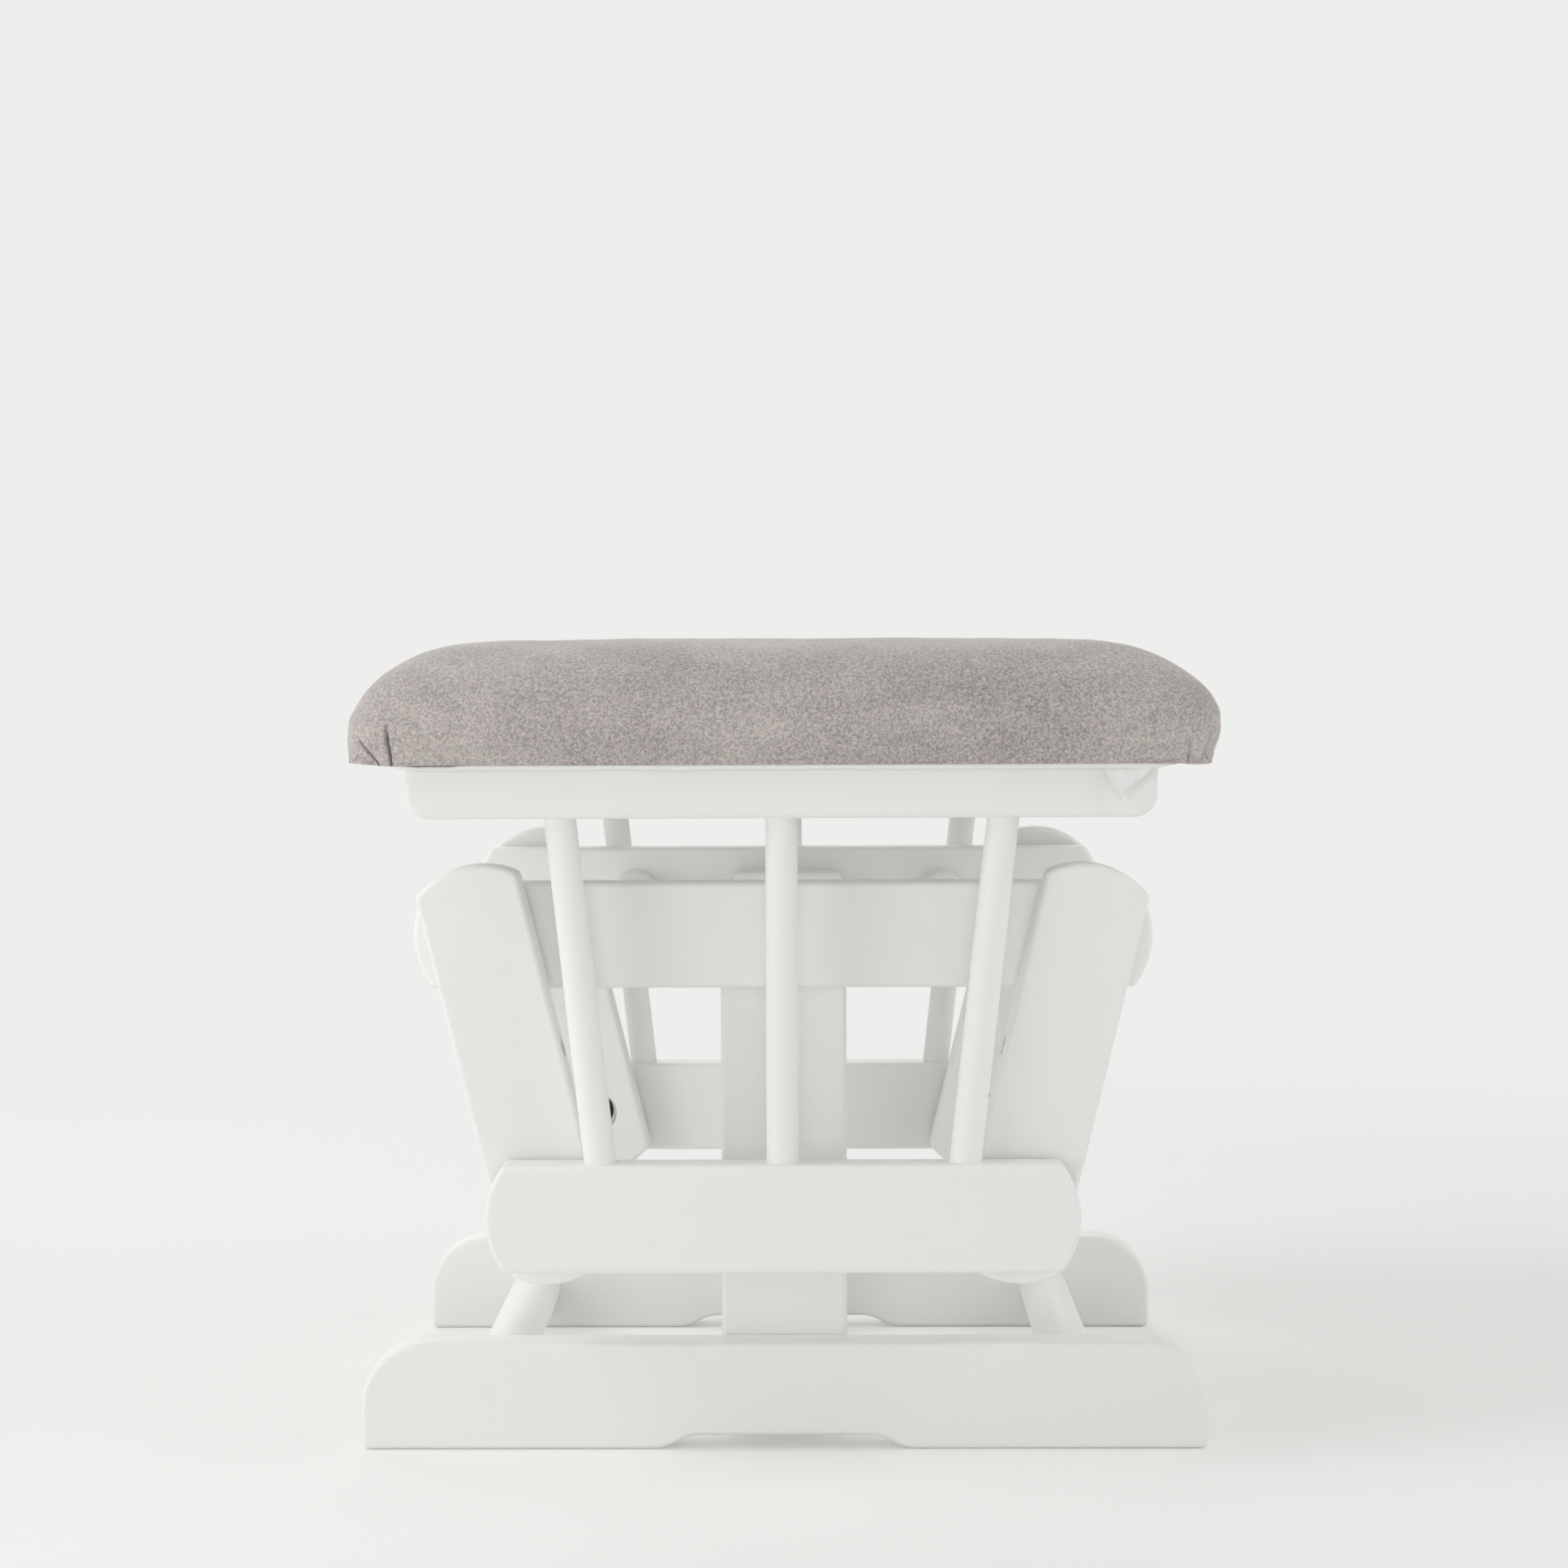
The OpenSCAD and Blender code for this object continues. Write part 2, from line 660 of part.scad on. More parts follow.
// Cushion: rings of points from the underside to the crown. Each row gives the share of the height
// and the inset from the widest outline, as a share of the roll over the upper edge.
ring_shares = [
    [0, 0.17], [0.02, 0.1], [0.1, 0.05], [0.21, 0.015], [0.34, 0], [0.48, 0.045], [0.6, 0.16],
    [0.71, 0.33], [0.8, 0.515], [0.87, 0.68], [0.925, 0.88], [0.955, 1.08], [0.978, 1.45], [0.993, 2.4]
];
// Share of the height where the pleats end
pleat_top_share = 0.42;
// How much tighter the corners grow towards the crown, and the least that is left of their radius
corner_fade_share = 0.5;
least_corner_share = 0.3;
pleat_count = 4;
corner_points = 10;
side_points = 5;

// One corner of a ring and the side that follows it, both along a rounded rectangle
function ring_corner(a, b, r, k, pleat, z) =
    let (
        sx = k == 0 || k == 3 ? 1 : -1,
        sy = k < 2 ? 1 : -1
    )
    [for (i = [0 : corner_points])
        let (
            t = i / corner_points,
            ang = 90 * (k + t),
            rr = r - pleat * (1 - cos(360 * pleat_count * t)) / 2
        )
        [sx * (a - r) + rr * cos(ang), sy * (b - r) + rr * sin(ang), z]
    ];
function ring_side(p, q, k, draw) =
    [for (i = [1 : side_points])
        let (
            t = i / (side_points + 1),
            pull = draw * sin(180 * t),
            ang = 90 * (k + 1)
        )
        p + (q - p) * t - pull * [cos(ang), sin(ang), 0]
    ];
function ring(row) =
    let (
        inset = row[1] * edge_roll,
        z = hem_z + row[0] * cushion_h,
        a = cushion_len / 2 - inset,
        b = cushion_w / 2 - inset,
        r = cushion_corner_r * max(1 - corner_fade_share * row[1], least_corner_share),
        fade = max(0, 1 - row[0] / pleat_top_share),
        draw = side_draw * (1 - row[0]),
        c = [for (k = [0 : 3]) ring_corner(a, b, r, k, pleat_depth * fade, z)]
    )
    [for (k = [0 : 3])
        each concat(c[k], ring_side(c[k][corner_points], c[(k + 1) % 4][0], k, draw))];

module cushion_form() {
    rings = [for (row = ring_shares) ring(row)];
    n = len(rings[0]);
    m = len(rings);
    points = concat([for (r = rings) each r], [[0, 0, hem_z], [0, 0, hem_z + cushion_h]]);
    faces = concat(
        [for (i = [0 : m - 2], j = [0 : n - 1]) [i * n + j, (i + 1) * n + j, i * n + (j + 1) % n]],
        [for (i = [0 : m - 2], j = [0 : n - 1])
            [(i + 1) * n + j, (i + 1) * n + (j + 1) % n, i * n + (j + 1) % n]],
        [for (j = [0 : n - 1]) [j, (j + 1) % n, m * n]],
        [for (j = [0 : n - 1]) [(m - 1) * n + (j + 1) % n, (m - 1) * n + j, m * n + 1]]
    );
    polyhedron(points, faces, convexity = 4);
}

module cushion_cover() {
    color(cloth) difference() {
        cushion_form();
        seat_panel(soft_clear, seat_board_z - soft_clear, seat_board_t + 2 * soft_clear);
        seat_panel(soft_clear - foam_inset, seat_board_z, seat_board_t + foam_t + 2 * soft_clear);
        seat_panel(soft_clear - hem_w, hem_z - cut, hem_t + 2 * cut);
    }
}

left_foot();
right_foot();
left_post();
right_post();
left_base_rail();
right_base_rail();
front_lower_stretcher();
rear_lower_stretcher();
front_upper_stretcher();
rear_upper_stretcher();
post_screws();
pivot_studs();
upper_sleeves();
upper_bearing_cores();
upper_bearing_balls();
rear_upper_bearing_rings();
rear_upper_bearing_seals();
front_left_arm();
front_left_bearing_rings();
front_left_bearing_seals();
front_right_arm();
front_right_bearing_rings();
front_right_bearing_seals();
rear_left_arm();
rear_left_bearing_ring();
rear_left_bearing_seals();
rear_right_arm();
rear_right_bearing_ring();
rear_right_bearing_seals();
left_lower_rail();
right_lower_rail();
left_seat_rail();
right_seat_rail();
front_left_spindle();
middle_left_spindle();
rear_left_spindle();
front_right_spindle();
middle_right_spindle();
rear_right_spindle();
front_cross_rail();
rear_cross_rail();
dowel_pins();
pivot_bolts();
lower_sleeves();
threaded_inserts();
lower_bearing_cores();
lower_bearing_balls();
seat_board();
seat_board_screws();
foam_pad();
cushion_cover();
dust_cover();
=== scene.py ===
import json
import math

import bmesh
import bpy
from mathutils import Matrix, Vector, noise
from mathutils.bvhtree import BVHTree


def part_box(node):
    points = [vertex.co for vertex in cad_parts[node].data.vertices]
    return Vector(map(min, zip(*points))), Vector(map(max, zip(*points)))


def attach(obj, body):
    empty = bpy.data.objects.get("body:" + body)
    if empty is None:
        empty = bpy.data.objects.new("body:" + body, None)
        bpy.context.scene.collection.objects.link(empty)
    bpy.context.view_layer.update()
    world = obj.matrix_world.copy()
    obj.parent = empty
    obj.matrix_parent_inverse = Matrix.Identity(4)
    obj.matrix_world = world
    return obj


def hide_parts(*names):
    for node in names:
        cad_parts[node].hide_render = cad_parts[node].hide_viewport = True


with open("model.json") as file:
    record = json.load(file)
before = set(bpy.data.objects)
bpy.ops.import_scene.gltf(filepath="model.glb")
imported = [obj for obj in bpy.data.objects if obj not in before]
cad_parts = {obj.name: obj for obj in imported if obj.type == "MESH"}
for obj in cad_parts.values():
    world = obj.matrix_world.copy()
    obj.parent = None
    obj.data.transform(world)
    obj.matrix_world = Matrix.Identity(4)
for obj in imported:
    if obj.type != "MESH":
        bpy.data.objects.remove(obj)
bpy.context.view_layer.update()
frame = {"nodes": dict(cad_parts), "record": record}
nodes = frame["nodes"]
scene = bpy.context.scene
print("frame loaded:", len(nodes), "nodes")


# camera

cameraSetup = {
    "lens": 70.06,  # mm on a 36 mm sensor
    "place": (0.01856, -1.7033, 0.4048),
    "down": 2.34,  # degrees
    "left": 0.65,
    "roll": -0.23,
}
lensData = bpy.data.cameras.new("studioCamera")
lensData.lens = cameraSetup["lens"]
lensData.clip_start = 0.05
studioCamera = bpy.data.objects.new("studioCamera", lensData)
scene.collection.objects.link(studioCamera)
studioCamera.matrix_world = (
    Matrix.Translation(cameraSetup["place"])
    @ Matrix.Rotation(math.radians(cameraSetup["left"]), 4, "Z")
    @ Matrix.Rotation(math.radians(90 - cameraSetup["down"]), 4, "X")
    @ Matrix.Rotation(math.radians(cameraSetup["roll"]), 4, "Z")
)
scene.camera = studioCamera
print("camera placed")


# shader helpers

class Wire:  # a node's output that can stand in plain arithmetic
    def __init__(self, tree, socket):
        self.tree = tree
        self.socket = socket

    def node(self, kind, settings, values, output=0):  # any other node: settings first, then its sockets
        made = self.tree.nodes.new(kind)
        for name, value in settings.items():
            if name == "stops":
                ramp = made.color_ramp
                while len(ramp.elements) < len(value):
                    ramp.elements.new(0.5)
                for element, (position, level) in zip(ramp.elements, value):
                    element.position = position
                    element.color = (level, level, level, 1)
            else:
                setattr(made, name, value)
        for name, value in values.items():
            if isinstance(value, Wire):
                self.tree.links.new(value.socket, made.inputs[name])
            else:
                made.inputs[name].default_value = value
        return Wire(self.tree, made.outputs[output])

    def math(self, how, first, second):
        return self.node("ShaderNodeMath", {"operation": how}, {0: first, 1: second})

    def __add__(self, other):
        return self.math("ADD", self, other)

    def __radd__(self, other):
        return self.math("ADD", other, self)

    def __sub__(self, other):
        return self.math("SUBTRACT", self, other)

    def __rsub__(self, other):
        return self.math("SUBTRACT", other, self)

    def __mul__(self, other):
        return self.math("MULTIPLY", self, other)

    def __rmul__(self, other):
        return self.math("MULTIPLY", other, self)

    def noise(self, scale, detail=2.0, rough=0.5, twist=0.0):  # self is the place it reads
        return self.node("ShaderNodeTexNoise", {}, {
            "Vector": self, "Scale": scale, "Detail": detail, "Roughness": rough, "Distortion": twist})

    def ramp(self, *stops):
        return self.node("ShaderNodeValToRGB", {"stops": stops}, {0: self})

    def between(self, first, second):  # colours mixed by this factor
        return self.node("ShaderNodeMix", {"data_type": "RGBA"}, {0: self, 6: first, 7: second}, 2)

    def stretched(self, scale, turn=(0, 0, 0)):
        return self.node("ShaderNodeMapping", {}, {"Vector": self, "Rotation": turn, "Scale": scale})

    def relief(self, strength, distance):
        return self.node("ShaderNodeBump", {}, {"Height": self, "Strength": strength, "Distance": distance})


def newFinish(name, fixed):
    finish = bpy.data.materials.new(name)
    finish.use_nodes = True
    tree = finish.node_tree
    shader = tree.nodes["Principled BSDF"]
    for socket, value in fixed.items():
        shader.inputs[socket].default_value = value
    place = Wire(tree, tree.nodes.new("ShaderNodeTexCoord").outputs["Object"])

    def feed(**wires):
        names = {"colour": "Base Color", "roughness": "Roughness", "normal": "Normal"}
        for key, wire in wires.items():
            tree.links.new(wire.socket, shader.inputs[names[key]])
    return finish, place, feed


def rgb(red, green, blue):
    return (red, green, blue, 1.0)


# finishes

paintLook = {
    "colour": rgb(0.91, 0.907, 0.89),
    "thin": rgb(0.90, 0.893, 0.868),
    "roughness": 0.42,
    "scales": {"grain": 95, "peel": 620, "cloud": 11, "speck": 240},
    "along": 0.06,  # how far the grain is drawn out along the board
    "armRun": (33.5, 137.0),  # mm from an arm's lower pivot to its upper one, along X and up
}


def paintFinish(name, grainScale, turn=(0, 0, 0)):
    scales = paintLook["scales"]
    finish, place, feed = newFinish(name, {"IOR": 1.46})
    grain = place.stretched(grainScale, turn).noise(scales["grain"], 4, 0.6, 0.3)
    peel = place.noise(scales["peel"], 2, 0.5)
    cloud = place.noise(scales["cloud"], 2, 0.5).ramp((0.35, 0.0), (0.75, 1.0))
    speck = place.noise(scales["speck"], 3, 0.7).ramp((0.66, 0.0), (0.78, 1.0))
    tint = cloud * 0.35 + speck * 0.25
    feed(
        colour=tint.between(paintLook["colour"], paintLook["thin"]),
        roughness=paintLook["roughness"] + 0.1 * peel + 0.06 * grain,
        normal=(grain * 0.7 + peel * 0.3).relief(0.07, 0.0004),
    )
    return finish


armTurn = math.atan2(*paintLook["armRun"])
along = paintLook["along"]
paintAlong = {
    "length": paintFinish("whitePaintAlongX", (along, 1, 1)),
    "width": paintFinish("whitePaintAlongY", (1, along, 1)),
    "height": paintFinish("whitePaintAlongZ", (1, 1, along)),
    "frontArm": paintFinish("whitePaintFrontArm", (1, 1, along), (0, armTurn, 0)),
    "rearArm": paintFinish("whitePaintRearArm", (1, 1, along), (0, -armTurn, 0)),
}

suedeLook = {
    "dark": rgb(0.287, 0.259, 0.246),
    "light": rgb(0.711, 0.650, 0.616),
    "sheen": 0.5,
    "scales": {"fibre": 760, "brushed": 34, "broad": 9},
    "shares": {"pebble": 0.58, "brushed": 0.2, "broad": 0.22},
}


def suedeFinish():
    finish, place, feed = newFinish("greySuede", {
        "Roughness": 0.92,
        "Specular IOR Level": 0.15,
        "Sheen Weight": suedeLook["sheen"],
        "Sheen Roughness": 0.42,
        "Sheen Tint": rgb(0.95, 0.92, 0.9),
    })
    scales, shares = suedeLook["scales"], suedeLook["shares"]
    fibre = place.noise(scales["fibre"], 1, 0.5, 1.1)
    pebble = fibre.ramp((0.38, 0.0), (0.62, 1.0))
    soft = (0.3, 0.0), (0.7, 1.0)
    brushed = place.stretched((0.75, 1, 1.25)).noise(scales["brushed"], 3, 0.5, 0.6).ramp(*soft)
    broad = place.noise(scales["broad"], 2, 0.5).ramp(*soft)
    nap = shares["pebble"] * pebble + shares["brushed"] * brushed + shares["broad"] * broad
    feed(
        colour=nap.between(suedeLook["dark"], suedeLook["light"]),
        roughness=0.86 + 0.12 * fibre,
        normal=fibre.relief(0.9, 0.0005),
    )
    return finish


clothLook = {
    "full": rgb(0.93, 0.93, 0.915),
    "thin": rgb(0.88, 0.88, 0.865),
    "scales": {"fibre": 1500, "thin": 420},
}


def dustClothFinish():
    finish, place, feed = newFinish("dustCloth", {"Roughness": 0.95, "Specular IOR Level": 0.2})
    fibre = place.noise(clothLook["scales"]["fibre"], 3, 0.7, 1.0)
    thin = place.noise(clothLook["scales"]["thin"], 3, 0.6)
    feed(
        colour=thin.between(clothLook["full"], clothLook["thin"]),
        normal=fibre.relief(0.35, 0.0003),
    )
    return finish


foamTone = {"pore": rgb(0.74, 0.66, 0.44), "skin": rgb(0.88, 0.82, 0.62), "cells": 520}


def foamFinish():
    finish, place, feed = newFinish("foam", {"Roughness": 0.95})
    cells = place.node("ShaderNodeTexVoronoi", {}, {"Vector": place, "Scale": foamTone["cells"]})
    feed(
        colour=cells.between(foamTone["pore"], foamTone["skin"]),
        normal=cells.relief(0.5, 0.0008),
    )
    return finish


woodLook = {
    "ply": {"dark": rgb(0.42, 0.27, 0.14), "light": rgb(0.74, 0.57, 0.37), "grain": 60, "layers": 105},
    "beech": {"light": rgb(0.74, 0.55, 0.37), "dark": rgb(0.5, 0.33, 0.19), "grain": 220, "fleck": 700},
}


def plywoodFinish():
    finish, place, feed = newFinish("plywood", {"Roughness": 0.7})
    look = woodLook["ply"]
    grain = place.stretched((0.08, 1, 1)).noise(look["grain"], 6, 0.65, 0.6)
    layers = place.node("ShaderNodeTexWave", {"bands_direction": "Z"}, {
        "Vector": place, "Scale": look["layers"], "Distortion": 0.4, "Detail": 1})
    tone = grain * 0.75 + layers * 0.25
    feed(
        colour=tone.between(look["dark"], look["light"]),
        roughness=0.6 + 0.2 * grain,
        normal=grain.relief(0.3, 0.0004),
    )
    return finish


def beechFinish():
    finish, place, feed = newFinish("beech", {"Roughness": 0.65})
    look = woodLook["beech"]
    grain = place.stretched((1, 0.07, 1)).noise(look["grain"], 5, 0.6, 0.4)
    fleck = place.stretched((1, 0.2, 1)).noise(look["fleck"], 2, 0.5).ramp((0.62, 0.0), (0.7, 1.0))
    feed(
        colour=(grain * 0.8 + fleck * 0.2).between(look["light"], look["dark"]),
        normal=grain.relief(0.3, 0.0003),
    )
    return finish


metalLook = {
    "zincSteel": {"dark": rgb(0.5, 0.5, 0.49), "light": rgb(0.72, 0.71, 0.68),
                  "metallic": 1.0, "rough": 0.34},
    "blackSteel": {"dark": rgb(0.012, 0.012, 0.013), "light": rgb(0.035, 0.034, 0.034),
                   "metallic": 0.6, "rough": 0.42},
}


def metalFinish(name):
    look = metalLook[name]
    rough = look["rough"]
    finish, place, feed = newFinish(name, {"Metallic": look["metallic"], "Roughness": rough})
    blotch = place.noise(160, 4, 0.6)
    scratch = place.stretched((1, 0.1, 1)).noise(1400, 2, 0.5)
    feed(
        colour=blotch.between(look["dark"], look["light"]),
        roughness=rough - 0.08 + 0.1 * blotch + 0.12 * scratch,
        normal=scratch.relief(0.15, 0.0001),
    )
    return finish


def rubberFinish():
    finish, place, feed = newFinish("blackRubber", {"Roughness": 0.6})
    mould = place.noise(900, 3, 0.6)
    feed(
        colour=mould.between(rgb(0.012, 0.012, 0.012), rgb(0.03, 0.03, 0.03)),
        roughness=0.5 + 0.2 * mould,
        normal=mould.relief(0.2, 0.0002),
    )
    return finish


finishes = {
    "grey_suede": suedeFinish(),
    "dust_cloth": dustClothFinish(),
    "foam": foamFinish(),
    "plywood": plywoodFinish(),
    "beech": beechFinish(),
    "zinc_steel": metalFinish("zincSteel"),
    "black_steel": metalFinish("blackSteel"),
    "black_rubber": rubberFinish(),
}
print("finishes made")


# CAD nodes that keep their shape

grainOf = {"stretcher": "width", "spindle": "height"}
slotOf = {part["node"]: part["material_slot"] for part in frame["record"]["subparts"]}
for nodeName, node in nodes.items():
    slotName = slotOf[nodeName]
    if slotName == "white_paint":
        grain = next((way for word, way in grainOf.items() if word in nodeName), "length")
        finish = paintAlong[grain]
    else:
        finish = finishes[slotName]
    node.data.materials.clear()
    node.data.materials.append(finish)
print("CAD nodes have their finishes")


# painted boards with rounded edges

boardLook = {
    "round": 0.0028,  # radius of the softened edges
    "segments": 4,
    "weld": 2e-6,  # how close points are joined
    "flat": 0.4,  # degrees between faces that are one
    "sharp": 40,  # degrees from which an edge is softened
    "across": 0.018,  # the shortest edge through the board that is softened
    "creased": 35,  # degrees from which the shading breaks
    "boards": {
        "leftFoot": ("left_foot", "base", "length"),
        "rightFoot": ("right_foot", "base", "length"),
        "leftPost": ("left_post", "base", "height"),
        "rightPost": ("right_post", "base", "height"),
        "leftBaseRail": ("left_base_rail", "base", "length"),
        "rightBaseRail": ("right_base_rail", "base", "length"),
        "frontLeftArm": ("front_left_arm", "front_left_link", "frontArm"),
        "frontRightArm": ("front_right_arm", "front_right_link", "frontArm"),
        "rearLeftArm": ("rear_left_arm", "rear_left_link", "rearArm"),
        "rearRightArm": ("rear_right_arm", "rear_right_link", "rearArm"),
        "leftLowerRail": ("left_lower_rail", "platform", "length"),
        "rightLowerRail": ("right_lower_rail", "platform", "length"),
        "leftSeatRail": ("left_seat_rail", "platform", "length"),
        "rightSeatRail": ("right_seat_rail", "platform", "length"),
        "frontCrossRail": ("front_cross_rail", "platform", "width"),
        "rearCrossRail": ("rear_cross_rail", "platform", "width"),
    },
}


def placePiece(name, shape, body, finish):
    mesh = bpy.data.meshes.new(name)
    shape.to_mesh(mesh)
    shape.free()
    mesh.materials.append(finish)
    piece = bpy.data.objects.new(name, mesh)
    scene.collection.objects.link(piece)
    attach(piece, body)
    return piece


def longestRim(shape, side):  # the outline of the face towards +Y or -Y, without its holes
    rims = [edge for edge in shape.edges if len(edge.link_faces) == 2
            and sum(face.normal.y * side > 0.999 for face in edge.link_faces) == 1]
    left, loops = set(rims), []
    while left:
        loop, waiting = [], [left.pop()]
        while waiting:
            edge = waiting.pop()
            loop.append(edge)
            for vert in edge.verts:
                for other in vert.link_edges:
                    if other in left:
                        left.remove(other)
                        waiting.append(other)
        loops.append(loop)
    return max(loops, key=lambda loop: sum(edge.calc_length() for edge in loop))


def longEdgesAcross(shape):  # sharp edges along Y
    found = []
    for edge in shape.edges:
        run = edge.verts[1].co - edge.verts[0].co
        if run.length > boardLook["across"] and abs(run.normalized().y) > 0.999 and len(edge.link_faces) == 2:
            if edge.calc_face_angle() > math.radians(boardLook["sharp"]):
                found.append(edge)
    return found


def roundedBoard(name, node, body, grain):
    shape = bmesh.new()
    shape.from_mesh(nodes[node].data)
    bmesh.ops.remove_doubles(shape, verts=shape.verts, dist=boardLook["weld"])
    flat = math.radians(boardLook["flat"])
    bmesh.ops.dissolve_limit(shape, angle_limit=flat, verts=shape.verts, edges=shape.edges)
    edges = longEdgesAcross(shape)
    if "CrossRail" not in name:
        edges += longestRim(shape, 1) + longestRim(shape, -1)
    bmesh.ops.bevel(
        shape, geom=edges, offset=boardLook["round"], offset_type="OFFSET", affect="EDGES",
        segments=boardLook["segments"], profile=0.5, material=-1, clamp_overlap=False)
    for face in shape.faces:
        face.smooth = True
    piece = placePiece(name, shape, body, paintAlong[grain])
    piece.data.set_sharp_from_angle(angle=math.radians(boardLook["creased"]))
    weighted = piece.modifiers.new("evenShading", "WEIGHTED_NORMAL")
    weighted.keep_sharp = True
    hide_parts(node)


for name, (node, body, grain) in boardLook["boards"].items():
    roundedBoard(name, node, body, grain)
print("boards rounded")


# cushion

cushionLook = {
    "half": (0.217, 0.213),
    "cornerRound": 0.030,
    "baseZ": 0.3541,
    "pocketZ": (0.3542, 0.3996),  # between these heights lie the walls of the pocket
    "pocketOpen": 0.004,  # how far the pocket is cut on below
    "weld": 2e-6,
    "slack": 0.0025,  # how much smaller it starts
    "voxel": 0.006,
    "frames": 20,
    "cloth": {
        "quality": 6, "mass": 0.2, "tension_stiffness": 18, "compression_stiffness": 18, "shear_stiffness": 8,
        "bending_stiffness": 1.2, "use_pressure": True, "uniform_pressure_force": 4.0,
    },
    "stapled": {"full": 0.004, "part": 0.009, "share": 0.35},  # heights to which it is held, and how much
    "cap": 0.006,  # how far a point may move
    "dip": 0.0006,  # how far the firm cloth may lie inside or outside the CAD form
    "crown": 0.0004,
    "relaxed": {"above": 0.026, "times": 8},
    "hem": {  # the lower edge hangs outside the rails and is folded under
        "inset": 0.0072,
        "under": 0.015,  # how far in the fold goes
        "beyond": 0.012,  # over which it fades, further in
        "top": 0.026,  # height up to which the wall is shaped
        "blend": 0.016,
        "slope": 0.018,
        "sag": 0.0010,
        "sagHeight": 0.009,
    },
    "corners": {  # inset of the lower edge, its lift, and how far round the corner it reaches
        (-1, -1): {"inset": 0.0008, "lift": 0.0010, "from": 0.45},
        (1, -1): {"inset": 0.0066, "lift": -0.0008, "from": 0.2},
        (-1, 1): {"inset": 0.003, "lift": 0.0006, "from": 0.3},
        (1, 1): {"inset": 0.005, "lift": 0.0, "from": 0.2},
    },
    "finer": {
        "corners": ((0.015, 0.034), (0.007, 0.024)),  # reach and height of each round
        "hem": {"height": 0.005, "inside": 0.009},
        "pleats": {"near": 0.0032, "nearest": 0.0015, "deep": 0.002},  # the nearest only where they are deep
    },
    "lean": {  # the cover sits a little to the right, where it also bulges more
        "right": 0.0022,
        "left": 0.0008,
        "fuller": 0.0018,
        "from": 0.15,
        "over": 0.06,
    },
    "uneven": {"broad": (21, 0.0007), "fine": (55, 0.00025)},  # scale and height
}
pleatForm = {
    "low": -0.0025,  # heights between which the pleats are pressed in
    "high": 0.034,
    "widening": 0.5,
    "lap": 0.0055,  # how far the cloth stands up past the groove
    "back": 0.007,  # and before it
    "backShare": 0.25,
    "crease": 0.0012,
    "dent": 0.0005,
    "dentWide": 0.0035,
}
# each pleat's corner, its degrees round the corner at the bottom and top, its height, depth, lip and width
pleatSizes = ("corner", "low", "high", "tall", "depth", "lip", "wide")
pleats = [dict(zip(pleatSizes, sizes)) for sizes in (
    ((-1, -1), 28, 49, 0.0130, 0.0050, 0.0005, 0.0005),
    ((-1, -1), 12, 14, 0.0200, 0.0040, 0.0026, 0.0006),
    ((1, -1), 27, 25, 0.014, 0.0012, 0.0007, 0.0008),
    ((1, -1), 44, 50, 0.012, 0.0005, 0.0007, 0.0014),
    ((-1, 1), 20, 24, 0.021, 0.0016, 0.0013, 0.0006),
    ((-1, 1), 47, 40, 0.013, 0.0015, 0.0011, 0.0006),
    ((1, 1), 16, 20, 0.017, 0.0015, 0.0012, 0.0006),
    ((1, 1), 44, 50, 0.022, 0.0016, 0.0012, 0.0006),
)]


def applied(piece):  # the piece with its modifiers made part of its mesh
    made = bpy.data.meshes.new_from_object(piece.evaluated_get(bpy.context.evaluated_depsgraph_get()))
    piece.modifiers.clear()
    old = piece.data
    piece.data = made
    bpy.data.meshes.remove(old)


def fade(value):
    value = max(0.0, min(1.0, value))
    return value * value * (3 - 2 * value)


def cornerOf(point):  # signs of its corner, and how far it is past the centre of that corner's arc
    sx = 1 if point.x > 0 else -1
    sy = 1 if point.y > 0 else -1
    reach = cushionLook["cornerRound"]
    dx = abs(point.x) - (cushionLook["half"][0] - reach)
    dy = abs(point.y) - (cushionLook["half"][1] - reach)
    return sx, sy, dx, dy


def aboveBase(point):
    return point.z - cushionLook["baseZ"]


def cushionPocket(shape):  # the walls, floor and roof of the pocket for the board and the foam
    inside = []
    low, high = cushionLook["pocketZ"]
    for face in shape.faces:
        centre, way = face.calc_center_median(), face.normal
        if low < centre.z < high:
            if abs(way.z) > 0.99 or way.x * centre.x + way.y * centre.y < 0:
                inside.append(face)
    return inside


def cushionOutside():
    shape = bmesh.new()
    shape.from_mesh(nodes["cushion_cover"].data)
    bmesh.ops.remove_doubles(shape, verts=shape.verts, dist=cushionLook["weld"])
    bmesh.ops.delete(shape, geom=cushionPocket(shape), context="FACES")
    rim = [edge for edge in shape.edges if edge.is_boundary]
    bmesh.ops.holes_fill(shape, edges=rim, sides=0)
    bmesh.ops.recalc_face_normals(shape, faces=shape.faces)
    return shape


def cushionStart():  # a little smaller, so that it can swell
    shape = cushionOutside()
    for vert in shape.verts:
        above = max(0.0, aboveBase(vert.co))
        for axis in (0, 1):
            half = cushionLook["half"][axis]
            vert.co[axis] *= 1 - cushionLook["slack"] / half * min(1, above / 0.012)
        vert.co.z -= cushionLook["slack"] * min(1, above / 0.03)
    return shape


def outward(point):  # which way is out, and how far inside the cushion's outline the point lies
    sx, sy, dx, dy = cornerOf(point)
    if dx > 0 and dy > 0:
        out = math.hypot(dx, dy)
        way = Vector((sx * dx / out, sy * dy / out, 0))
    else:
        out = max(dx, dy)
        way = Vector((sx, 0, 0)) if dx > dy else Vector((0, sy, 0))
    return way, cushionLook["cornerRound"] - out


